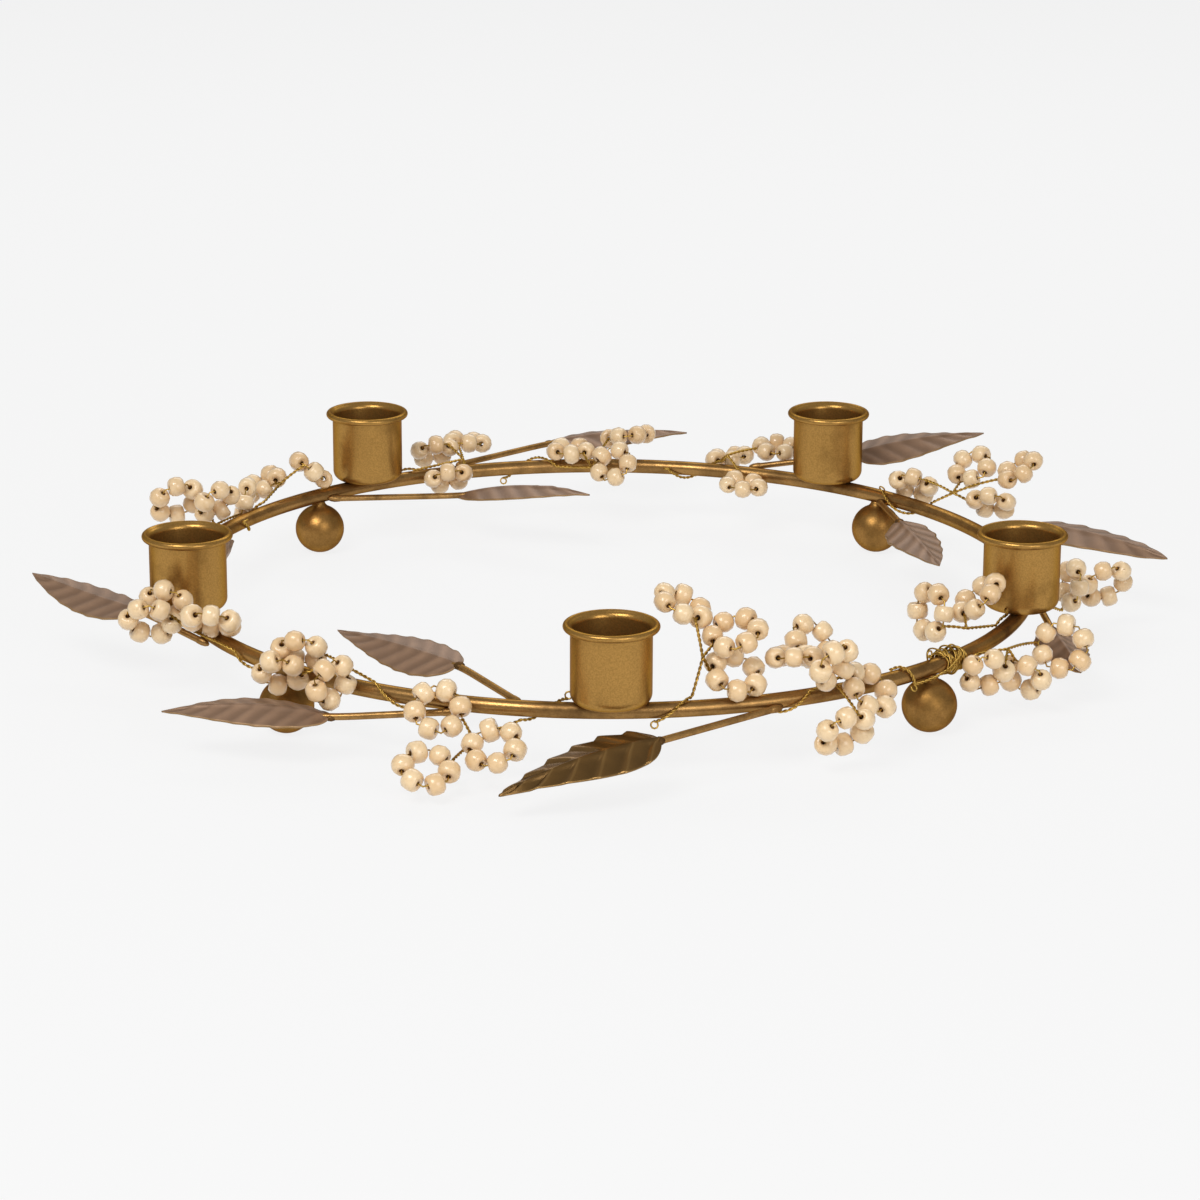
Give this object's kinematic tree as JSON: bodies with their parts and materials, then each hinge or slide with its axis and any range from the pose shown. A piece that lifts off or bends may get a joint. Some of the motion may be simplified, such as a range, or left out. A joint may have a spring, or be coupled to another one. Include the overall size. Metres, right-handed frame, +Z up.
{
  "type": "candle ring",
  "caption": "Round wire candle ring on ball feet: rolled-rim candle cups stand on a rod dressed with pressed metal leaves and sprigs of threaded wooden beads.",
  "frame": {"origin": "centre of the ring on the table top, level with the bottoms of the ball feet", "axes": "+Z up; -Y towards the front, where a cup stands almost on the axis; +X to the right"},
  "size_m": [0.3747, 0.3583, 0.0537],
  "materials": {
    "rod_paint": "satin",
    "gold_paint": "satin",
    "leaf_paint": "satin",
    "bead_wood": "gloss",
    "brass_wire": "satin"
  },
  "bodies": {
    "root": {"ring_rod": "rod_paint", "candle_cups": "gold_paint", "ball_feet": "gold_paint", "leaf_blade_01": "leaf_paint", "leaf_stem_01": "leaf_paint", "leaf_blade_02": "leaf_paint", "leaf_stem_02": "leaf_paint", "leaf_blade_03": "leaf_paint", "leaf_stem_03": "leaf_paint", "leaf_blade_04": "leaf_paint", "leaf_stem_04": "leaf_paint", "leaf_blade_05": "leaf_paint", "leaf_stem_05": "leaf_paint", "leaf_blade_06": "leaf_paint", "leaf_stem_06": "leaf_paint", "leaf_blade_07": "leaf_paint", "leaf_stem_07": "leaf_paint", "leaf_blade_08": "leaf_paint", "leaf_stem_08": "leaf_paint", "leaf_blade_09": "leaf_paint", "leaf_stem_09": "leaf_paint", "leaf_blade_10": "leaf_paint", "leaf_stem_10": "leaf_paint", "leaf_blade_11": "leaf_paint", "leaf_stem_11": "leaf_paint", "sprig_beads_01": "bead_wood", "sprig_beads_02": "bead_wood", "sprig_beads_03": "bead_wood", "sprig_beads_04": "bead_wood", "sprig_beads_05": "bead_wood", "sprig_beads_06": "bead_wood", "sprig_beads_07": "bead_wood", "sprig_beads_08": "bead_wood", "sprig_beads_09": "bead_wood", "sprig_beads_10": "bead_wood", "sprig_beads_11": "bead_wood", "sprig_beads_12": "bead_wood", "sprig_beads_13": "bead_wood", "sprig_beads_14": "bead_wood", "brass_wires": "brass_wire"}
  },
  "joints": []
}
